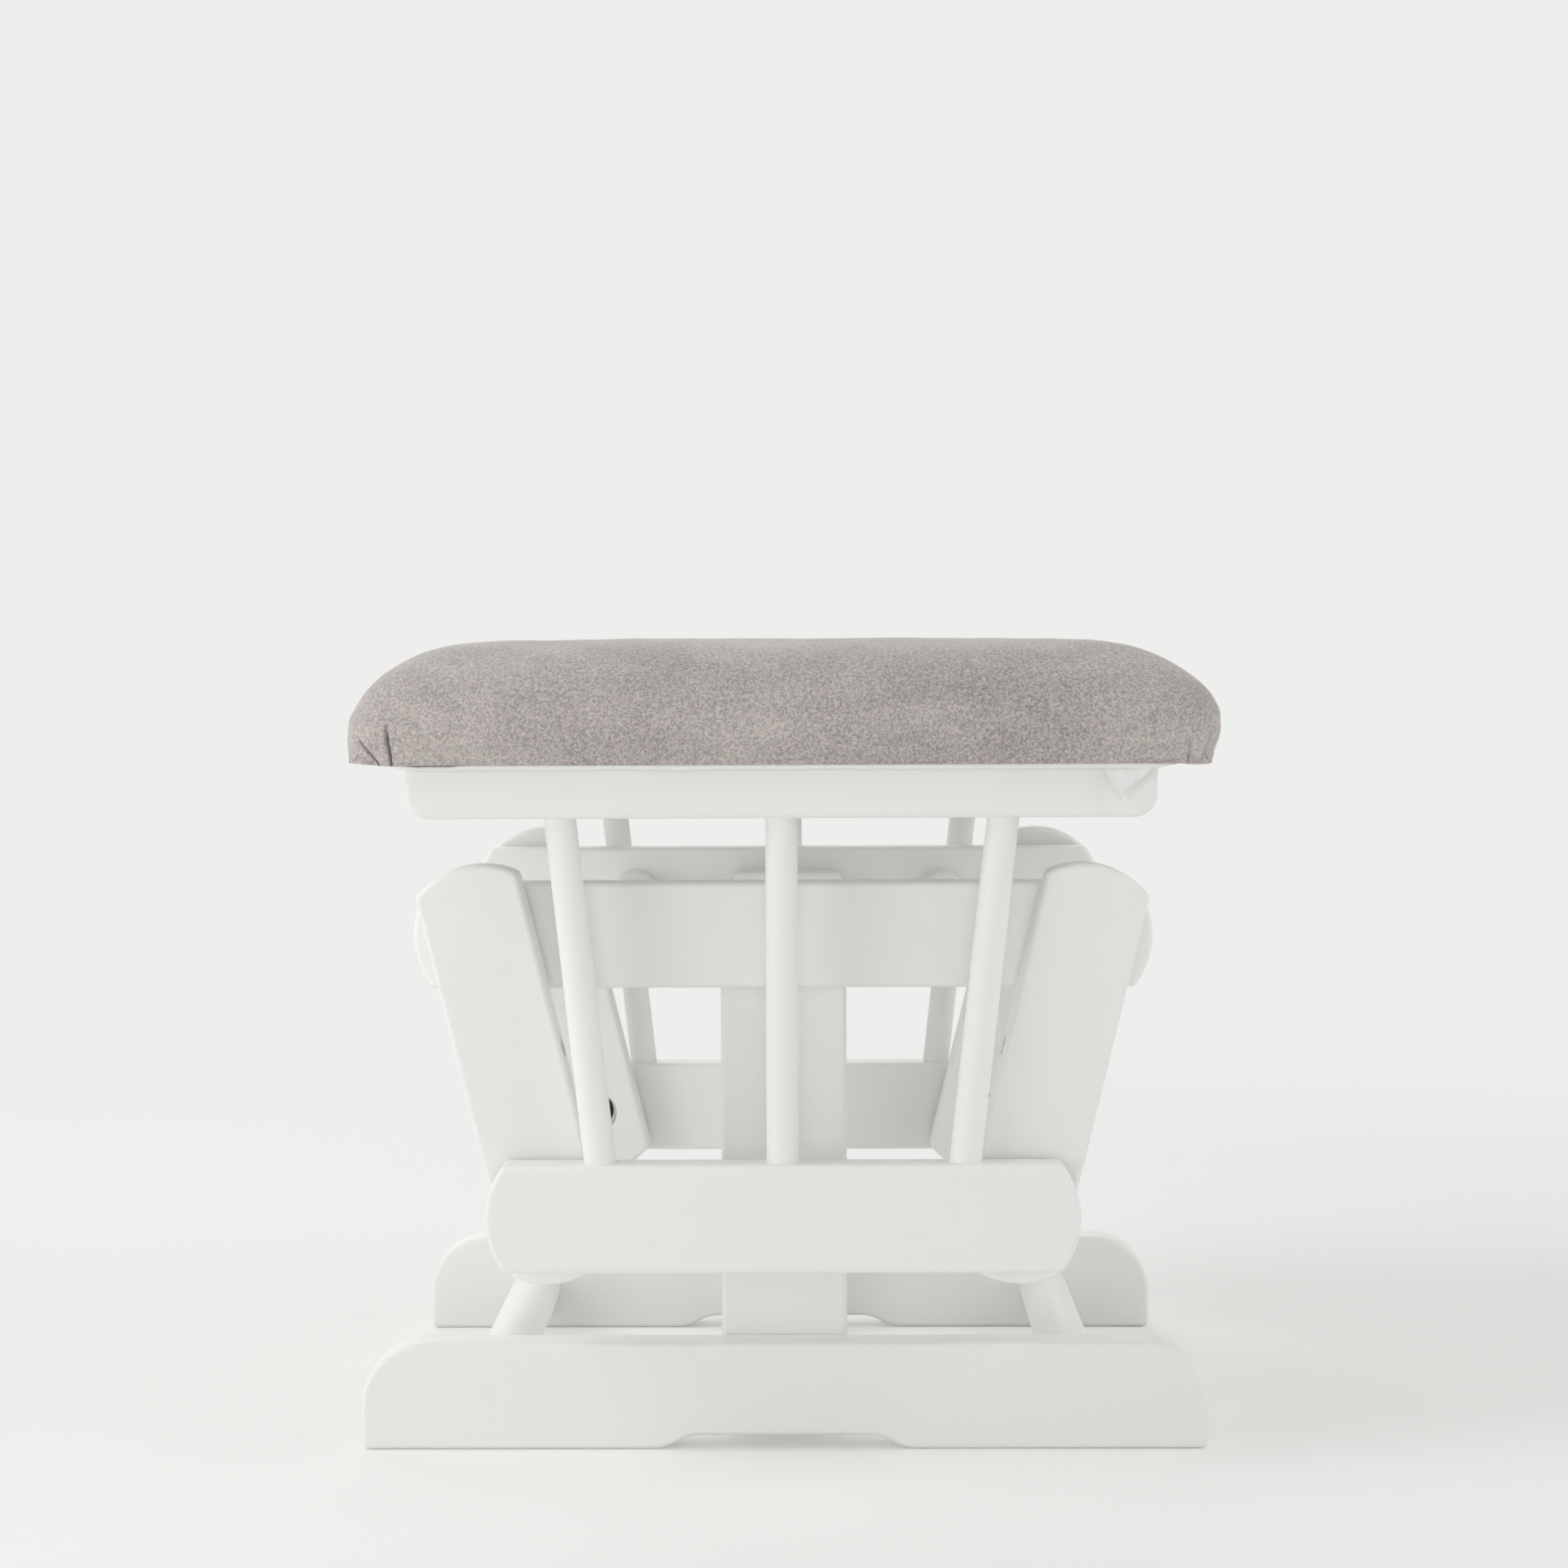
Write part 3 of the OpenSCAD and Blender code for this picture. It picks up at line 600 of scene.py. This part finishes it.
def squareHem(shape):  # the cover is folded under at its lower edge, which the voxels have rounded
    hem = cushionLook["hem"]
    for vert in shape.verts:
        height = aboveBase(vert.co)
        way, inside = outward(vert.co)
        if height > hem["top"] or inside > hem["under"] + hem["beyond"]:
            continue
        sx, sy, dx, dy = cornerOf(vert.co)
        fold = cushionLook["corners"][sx, sy]
        turn = math.atan2(max(dx, 0.0), max(dy, 0.0)) if dx > 0 or dy > 0 else 0.0
        corner = fade((turn - fold["from"]) / 0.5) * fade((dy + 0.07) / 0.05)
        inset = hem["inset"] + (fold["inset"] - hem["inset"]) * corner
        wall = inset * max(0.0, 1 - max(0.0, height) / hem["slope"]) ** 1.6
        folded = fade((hem["under"] + hem["beyond"] - inside) / hem["beyond"])
        below = max(wall, inside - (hem["under"] - wall) * folded)
        side = fade((vert.normal.z + 0.88) / 0.3)
        aim = below + (wall - below) * side
        edge = fade((hem["under"] + 0.002 - inside) / 0.006)
        vert.co += way * (inside - aim) * fade((hem["top"] - height) / hem["blend"])
        vert.co.z -= (1 - side) * edge * max(0.0, height)
        sag = hem["sag"] * fade((hem["inset"] + 0.0035 - aim) / 0.0025) - fold["lift"] * corner
        vert.co.z -= sag * fade((hem["sagHeight"] - max(0.0, height)) / hem["sagHeight"])


def swell(piece):
    remesh = piece.modifiers.new("voxels", "REMESH")
    remesh.mode = "VOXEL"
    remesh.voxel_size = cushionLook["voxel"]
    applied(piece)
    start = [vert.co.copy() for vert in piece.data.vertices]
    held = piece.vertex_groups.new(name="stapled")
    staples = cushionLook["stapled"]
    for vert in piece.data.vertices:
        height = aboveBase(vert.co)
        if height < staples["full"]:
            held.add([vert.index], 1.0, "REPLACE")
        elif height < staples["part"]:
            held.add([vert.index], staples["share"], "REPLACE")
    cloth = piece.modifiers.new("swell", "CLOTH")
    for setting, value in cushionLook["cloth"].items():
        setattr(cloth.settings, setting, value)
    cloth.settings.effector_weights.gravity = 0
    cloth.settings.vertex_group_mass = "stapled"
    cloth.collision_settings.use_collision = False
    cloth.point_cache.frame_end = cushionLook["frames"]
    for step in range(1, cushionLook["frames"] + 1):
        scene.frame_set(step)
    applied(piece)
    scene.frame_set(1)
    for vert, old in zip(piece.data.vertices, start):
        move = vert.co - old
        if move.length > cushionLook["cap"]:
            vert.co = old + move * (cushionLook["cap"] / move.length)
    piece.vertex_groups.clear()
    # the foam under it is firm, so the cloth stays close to the CAD form
    outside = cushionOutside()
    form = BVHTree.FromBMesh(outside)
    outside.free()
    for vert in piece.data.vertices:
        near, way, _, _ = form.find_nearest(vert.co)
        off = (vert.co - near).dot(way)
        vert.co += way * (max(-cushionLook["dip"], min(cushionLook["crown"], off)) - off)
    shape = bmesh.new()
    shape.from_mesh(piece.data)
    relaxed = cushionLook["relaxed"]
    upper = [vert for vert in shape.verts if vert.co.z > cushionLook["baseZ"] + relaxed["above"]]
    for _ in range(relaxed["times"]):
        bmesh.ops.smooth_vert(shape, verts=upper, factor=0.5,
                              use_axis_x=True, use_axis_y=True, use_axis_z=True)
    shape.to_mesh(piece.data)
    shape.free()


def acrossPleat(vert, pleat):  # how far the point lies from the pleat's line, and how far up it is
    sx, sy, dx, dy = cornerOf(vert.co)
    if (sx, sy) != pleat["corner"] or min(dx, dy) < -0.02:
        return None
    height = aboveBase(vert.co)
    rise = height / pleat["tall"]
    reach = cushionLook["cornerRound"]
    turn = math.atan2(max(dx, 0.0), max(dy, 0.0))
    along = turn * reach + (min(dx, 0.0) if dx < 0 else -min(dy, 0.0))
    line = math.radians(pleat["low"] + (pleat["high"] - pleat["low"]) * min(rise, 1.2)) * reach
    return along - line, rise, height


def halved(shape, faces):  # twice as many cells along and across
    edges = {edge for face in faces for edge in face.edges}
    bmesh.ops.subdivide_edges(shape, edges=list(edges), cuts=1, use_grid_fill=True, smooth=1.0)


def refinedHem(shape):
    finer = cushionLook["finer"]
    for reach, top in finer["corners"]:
        close = [face for face in shape.faces
                 if face.calc_center_median().z < cushionLook["baseZ"] + top
                 and min(cornerOf(face.calc_center_median())[2:]) > -reach]
        halved(shape, close)
    shape.normal_update()
    band = [face for face in shape.faces
            if face.calc_center_median().z < cushionLook["baseZ"] + finer["hem"]["height"]
            and outward(face.calc_center_median())[1] < finer["hem"]["inside"]]
    halved(shape, band)
    shape.normal_update()


def refinedPleats(shape):
    finer = cushionLook["finer"]["pleats"]
    for near in (finer["near"], finer["nearest"]):
        lines = set()
        for edge in shape.edges:
            for pleat in pleats:
                found = acrossPleat(edge.verts[0], pleat)
                deep = near == finer["near"] or pleat["depth"] > finer["deep"]
                if found and abs(found[0]) < near and found[1] < 1.3 and deep:
                    lines.add(edge)
        bmesh.ops.subdivide_edges(shape, edges=list(lines), cuts=1, use_grid_fill=True)
    shape.normal_update()


def pleatPush(pleat, off, rise, height):  # a groove, with the cloth lapping over it and dented round it
    form = pleatForm
    strength = fade((1.15 - rise) / 0.7) * fade((height - form["low"]) / 0.001)
    wide = pleat["wide"] * (1 + form["widening"] * rise)
    push = -pleat["depth"] * strength * math.exp(-(off / wide) ** 4)
    if off > 0:
        push += pleat["lip"] * strength * math.exp(-off / form["lap"]) * (1 - math.exp(-off / wide))
    else:
        lip = form["backShare"] * pleat["lip"] * strength
        push += lip * math.exp(off / form["back"]) * (1 - math.exp(off / form["crease"]))
    return push - form["dent"] * fade((1.9 - rise) / 0.9) * math.exp(-(off / form["dentWide"]) ** 2)


def pressed(shape):
    low, high = pleatForm["low"], pleatForm["high"]
    for vert in shape.verts:
        found = [(one, acrossPleat(vert, one)) for one in pleats]
        push = sum(pleatPush(one, *at) for one, at in found if at and low < at[2] < high)
        if push:
            sx, sy, dx, dy = cornerOf(vert.co)
            way = Vector((max(dx, 0.0) * sx, max(dy, 0.0) * sy, 0))
            if way.length > 0.012:
                vert.co += way.normalized() * push


def leaning(shape):
    shift = cushionLook["lean"]
    for vert in shape.verts:
        height = aboveBase(vert.co)
        end = fade((abs(vert.co.x) - shift["from"]) / shift["over"])
        if vert.co.x > 0:
            full = fade((height - 0.018) / 0.01) * fade((0.052 - height) / 0.02)
            vert.co.x += end * (shift["right"] + shift["fuller"] * full)
        else:
            vert.co.x += end * shift["left"]


def unevened(shape):  # a little all over, less on the underside
    waves = cushionLook["uneven"].values()
    for vert in shape.verts:
        height = aboveBase(vert.co)
        if height > 0.002:
            wave = sum(noise.noise(vert.co * scale) * tall for scale, tall in waves)
            vert.co += vert.normal * wave * fade(height / 0.012)


def shaped(piece):
    shape = bmesh.new()
    shape.from_mesh(piece.data)
    for step in (refinedHem, squareHem, refinedPleats, pressed, leaning, unevened):
        step(shape)
    for face in shape.faces:
        face.smooth = True
    shape.to_mesh(piece.data)
    shape.free()


def hollow(piece):  # the pocket for the board and the foam, open below inside the hem
    shape = bmesh.new()
    shape.from_mesh(nodes["cushion_cover"].data)
    bmesh.ops.remove_doubles(shape, verts=shape.verts, dist=cushionLook["weld"])
    kept = set(cushionPocket(shape))
    bmesh.ops.delete(shape, geom=[face for face in shape.faces if face not in kept], context="FACES")
    rim = [edge for edge in shape.edges if edge.is_boundary]
    made = bmesh.ops.holes_fill(shape, edges=rim, sides=0)
    for vert in {vert for face in made["faces"] for vert in face.verts}:
        vert.co.z -= cushionLook["pocketOpen"]
    bmesh.ops.recalc_face_normals(shape, faces=shape.faces)
    mesh = bpy.data.meshes.new("pocket")
    shape.to_mesh(mesh)
    shape.free()
    cutter = bpy.data.objects.new("pocket", mesh)
    scene.collection.objects.link(cutter)
    cut = piece.modifiers.new("pocket", "BOOLEAN")
    cut.operation = "DIFFERENCE"
    cut.solver = "EXACT"
    cut.object = cutter
    applied(piece)
    bpy.data.objects.remove(cutter)
    bpy.data.meshes.remove(mesh)


cushion = placePiece("cushionCover", cushionStart(), "platform", finishes["grey_suede"])
swell(cushion)
refined = cushion.modifiers.new("smooth", "SUBSURF")
refined.levels = refined.render_levels = 1
applied(cushion)
shaped(cushion)
hollow(cushion)
cushion.data.materials.clear()
cushion.data.materials.append(finishes["grey_suede"])
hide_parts("cushion_cover")
print("cushion swelled and pleated:", len(cushion.data.polygons), "faces")


# foam block

foamLook = {"corner": 0.02, "round": 0.013}
foamLow, foamHigh = (Vector(corner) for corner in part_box("foam_pad"))
shape = bmesh.new()
bmesh.ops.create_cube(shape, size=1)
bmesh.ops.scale(shape, vec=foamHigh - foamLow, verts=shape.verts)
bmesh.ops.translate(shape, vec=(foamHigh + foamLow) / 2, verts=shape.verts)
upright = [edge for edge in shape.edges if abs(edge.verts[0].co.z - edge.verts[1].co.z) > 0.01]
bmesh.ops.bevel(shape, geom=upright, offset=foamLook["corner"], offset_type="OFFSET", affect="EDGES",
                segments=6, profile=0.5, material=-1)
upper = [edge for edge in shape.edges if all(vert.co.z > foamHigh.z - 1e-5 for vert in edge.verts)]
bmesh.ops.bevel(shape, geom=upper, offset=foamLook["round"], offset_type="OFFSET", affect="EDGES",
                segments=3, profile=0.5, material=-1)
foamBlock = placePiece("foamBlock", shape, "platform", finishes["foam"])
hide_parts("foam_pad")
print("foam block made")


# dust cover and its loose flap

dustLook = {
    "half": (0.2015, 0.2094),
    "bend": 0.2072,  # where its edge turns down, outside the seat rails
    "gap": {"from": -0.1830, "to": -0.1570, "deep": 0.0010},  # there it leaves the cushion
    "cells": (72, 84),
    "edge": {"rows": 8, "wide": 0.0058},  # closer rows where the edge bends
    "corner": 0.0195,
    "z": 0.35325,
    "free": (0.136, 0.177, 0.03),  # it hangs slack inside these half lengths, and over which width that fades
    "sag": 0.0022,
    "ripple": 0.0012,
    "thick": 0.0006,
}


def dustSheet():
    shape = bmesh.new()
    across, along = dustLook["cells"]
    bmesh.ops.create_grid(shape, x_segments=across, y_segments=along, size=1)
    halfX, halfY = dustLook["half"]
    edgeRows, edgeWide = dustLook["edge"]["rows"] / along, dustLook["edge"]["wide"]
    corner, gap = dustLook["corner"], dustLook["gap"]
    freeX, freeY, soft = dustLook["free"]
    for vert in shape.verts:
        x = vert.co.x * halfX
        inner = min(abs(vert.co.y), 1 - edgeRows) / (1 - edgeRows) * (halfY - edgeWide)
        outer = max(0.0, abs(vert.co.y) - 1 + edgeRows) / edgeRows * edgeWide
        y = math.copysign(inner + outer, vert.co.y)
        # corners cut round
        over = Vector((max(abs(x) - halfX + corner, 0), max(abs(y) - halfY + corner, 0), 0))
        if over.length > corner:
            over *= 1 - corner / over.length
            x -= math.copysign(over.x, x)
            y -= math.copysign(over.y, y)
        # flat where the rails and the board pinch it, slack between them, and its edge hangs outside them
        free = fade((freeY - abs(y)) / soft) * fade((freeX - abs(x)) / soft)
        ripple = noise.noise(Vector((x * 14, y * 30, 2.0)))
        z = dustLook["z"] - free * (dustLook["sag"] + dustLook["ripple"] * ripple)
        low = fade((x - gap["from"]) / 0.004) * fade((gap["to"] - x) / 0.004) * (y < 0)
        uneven = 0.0006 * noise.noise(Vector((x * 30, y, 5.0)))
        uneven += 0.0003 * noise.noise(Vector((x * 110, y, 9.0)))
        hang = max(0.0, abs(y) - dustLook["bend"] - uneven)
        z -= (0.0003 + gap["deep"] * low) * fade((abs(y) - 0.2031) / 0.004) + hang * (1 - 0.4 * low)
        y -= math.copysign(hang * 0.92, y)
        vert.co = Vector((x, y, z))
    for face in shape.faces:
        face.smooth = True
    return shape


dustCover = placePiece("dustCover", dustSheet(), "platform", finishes["dust_cloth"])
thickness = dustCover.modifiers.new("cloth", "SOLIDIFY")
thickness.thickness = dustLook["thick"]
thickness.offset = 0
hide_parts("dust_cover")


flapLook = {
    "x": (0.1580, 0.1830),
    "drop": 0.0175,
    "cells": (40, 30),
    "tip": 0.34,  # the lowest point, as a share of the width
    "narrow": 0.78,  # how much narrower it is at the tip
    "ragged": 0.0009,
    "crush": (0.0006, 0.0004),
    "curl": 0.0011,
    "thick": 0.00025,
    "out": {"from": -0.2008, "by": 0.0058, "atLeast": -0.2034},  # over the hem and down past the seat rail
}


def flapSheet():
    shape = bmesh.new()
    bmesh.ops.create_grid(shape, x_segments=flapLook["cells"][0], y_segments=flapLook["cells"][1], size=0.5)
    low, high = flapLook["x"]
    tip, out = flapLook["tip"], flapLook["out"]
    for vert in shape.verts:
        s, t = vert.co.x + 0.5, 0.5 - vert.co.y  # along the edge, and down
        narrow = 1 - flapLook["narrow"] * t ** 1.25
        ragged = flapLook["ragged"] * noise.noise(Vector((t * 9, 7.0 if s > tip else 1.0, 0)))
        x = low + (high - low) * (tip + (s - tip) * narrow) + ragged * abs(s - tip) * t
        deep = flapLook["drop"] * t * (1 - 0.30 * abs(s - tip) / 0.66)
        crush = noise.noise(Vector((s * 6, t * 4, 0.3))) * flapLook["crush"][0]
        crush += noise.noise(Vector((s * 15, t * 11, 4.0))) * flapLook["crush"][1]
        rim = min(1.0, math.exp(-min(s, 1 - s) / 0.07) + math.exp(-(1 - t) / 0.06))
        curl = flapLook["curl"] * rim * fade(t * 5)  # its cut edges curl outwards
        bend = min(1.0, t * 7)
        y = out["from"] - out["by"] * fade(bend) - crush * 0.8 * fade(t * 4) - curl
        z = dustLook["z"] - 0.0004 - max(0.0, deep - 0.0012 * (1 - bend)) + 0.8 * crush * t
        vert.co = Vector((x, min(y, out["atLeast"]) if t > 0.16 else y, z))
    for face in shape.faces:
        face.smooth = True
    return shape


flap = placePiece("dustCoverFlap", flapSheet(), "platform", finishes["dust_cloth"])
flapThick = flap.modifiers.new("cloth", "SOLIDIFY")
flapThick.thickness = flapLook["thick"]
flapThick.offset = 0
print("dust cover and flap made")


# studio

studioLook = {
    "wall": rgb(0.855, 0.855, 0.839),
    "floor": rgb(0.93, 0.93, 0.92),  # for the light that it throws back on the pieces
    "floorSeen": rgb(1, 1, 0.981),
    "evened": (1.0442, 0.1082, 0.0064, -0.0269, -0.0441, 0.0144),  # times 1, X, Y, XX, XY and YY
    "glow": 0.38,  # share of plain wall colour in the floor, so that only soft shadows are left
    "shade": {"corner": (0.13, -0.20), "soft": 0.16},  # to the right the shadow stays strong
    "far": {"from": 0.85, "slope": 1.6},
    "aim": (0, 0, 0.2),
    "ambient": 0.397,
    "lamps": {
        "keySoftbox": {"place": (-1.6, -0.45, 1.6), "size": 1.1, "power": 13},
        "lowSoftbox": {"place": (-2.6, 0.1, 0.45), "size": 1.5, "power": 4.2},
        "cornerSoftbox": {"place": (-1.8, -1.9, 0.35), "size": 1.2, "power": 11},
        "backSoftbox": {"place": (-0.6, 2.6, 2.0), "size": 3.0, "power": 31},
        "rightSoftbox": {"place": (2.6, -0.5, 1.6), "size": 2.5, "power": 27},
        "frontSoftbox": {"place": (0.0, -3.6, 0.45), "size": 1.0, "power": 11.5},
    },
}


def straight(start):  # 1 for the camera's own rays and for those that metal or glass passes on
    paths = ["Is Camera Ray", "Is Glossy Ray", "Is Transmission Ray"]
    camera, glossy, through = [start.node("ShaderNodeLightPath", {}, {}, path) for path in paths]
    return camera + glossy + through


def studioFloor():
    shape = bmesh.new()
    bmesh.ops.create_grid(shape, x_segments=1, y_segments=1, size=30)
    mesh = bpy.data.meshes.new("studioFloor")
    shape.to_mesh(mesh)
    shape.free()
    floor = bpy.data.objects.new("studioFloor", mesh)
    floor.location.z = -0.0002
    scene.collection.objects.link(floor)
    finish, place, feed = newFinish("studioFloor", {"Roughness": 1.0, "Specular IOR Level": 0.0})
    tree = finish.node_tree
    seen = straight(place)
    # the floor's tone evens out the lamps' falloff, so that only the object's shadow shows on it
    x = place.node("ShaderNodeSeparateXYZ", {}, {0: place}, 0)
    y = place.node("ShaderNodeSeparateXYZ", {}, {0: place}, 1)
    c = studioLook["evened"]
    tone = c[0] + c[1] * x + c[2] * y + c[3] * (x * x) + c[4] * (x * y) + c[5] * (y * y)
    even = tone.between(rgb(0, 0, 0), studioLook["floorSeen"])
    feed(colour=seen.between(studioLook["floor"], even))
    shade = studioLook["shade"]
    inX = place.node("ShaderNodeClamp", {}, {0: (x - shade["corner"][0]) * (1 / shade["soft"])})
    inY = place.node("ShaderNodeClamp", {}, {0: (y - shade["corner"][1]) * (1 / shade["soft"])})
    share = studioLook["glow"] - studioLook["glow"] * inX * inY
    # far off it turns into the evenly lit wall
    away = place.node("ShaderNodeVectorMath", {"operation": "LENGTH"}, {0: place}, 1)
    turn = studioLook["far"]
    turned = place.node("ShaderNodeClamp", {}, {0: (away - turn["from"]) * turn["slope"]})
    far = share + turned - share * turned
    glow = place.node("ShaderNodeEmission", {}, {"Color": studioLook["wall"], "Strength": 1.0})
    shader = Wire(tree, tree.nodes["Principled BSDF"].outputs[0])
    mixed = place.node("ShaderNodeMixShader", {}, {0: far * seen, 1: shader, 2: glow})
    tree.links.new(mixed.socket, tree.nodes["Material Output"].inputs["Surface"])
    mesh.materials.append(finish)


def softbox(name, setup):
    data = bpy.data.lights.new(name, "AREA")
    data.shape = "SQUARE"
    data.size = setup["size"]
    data.energy = setup["power"]
    lamp = bpy.data.objects.new(name, data)
    lamp.location = setup["place"]
    aim = Vector(studioLook["aim"]) - Vector(setup["place"])
    lamp.rotation_mode = "QUATERNION"
    lamp.rotation_quaternion = aim.to_track_quat("-Z", "Y")
    scene.collection.objects.link(lamp)


def studioWorld():
    world = bpy.data.worlds.new("studio")
    scene.world = world
    world.use_nodes = True
    tree = world.node_tree
    lit = tree.nodes["Background"]
    lit.inputs["Color"].default_value = rgb(1, 1, 1)
    lit.inputs["Strength"].default_value = studioLook["ambient"]
    start = Wire(tree, lit.outputs[0])
    wall = start.node("ShaderNodeBackground", {}, {"Color": studioLook["wall"], "Strength": 1.0})
    seen = straight(start)
    mixed = start.node("ShaderNodeMixShader", {}, {0: seen, 1: start, 2: wall})
    tree.links.new(mixed.socket, tree.nodes["World Output"].inputs["Surface"])


studioFloor()
for lampName, lampSetup in studioLook["lamps"].items():
    softbox(lampName, lampSetup)
studioWorld()
scene.view_settings.view_transform = "Standard"
print("studio ready")
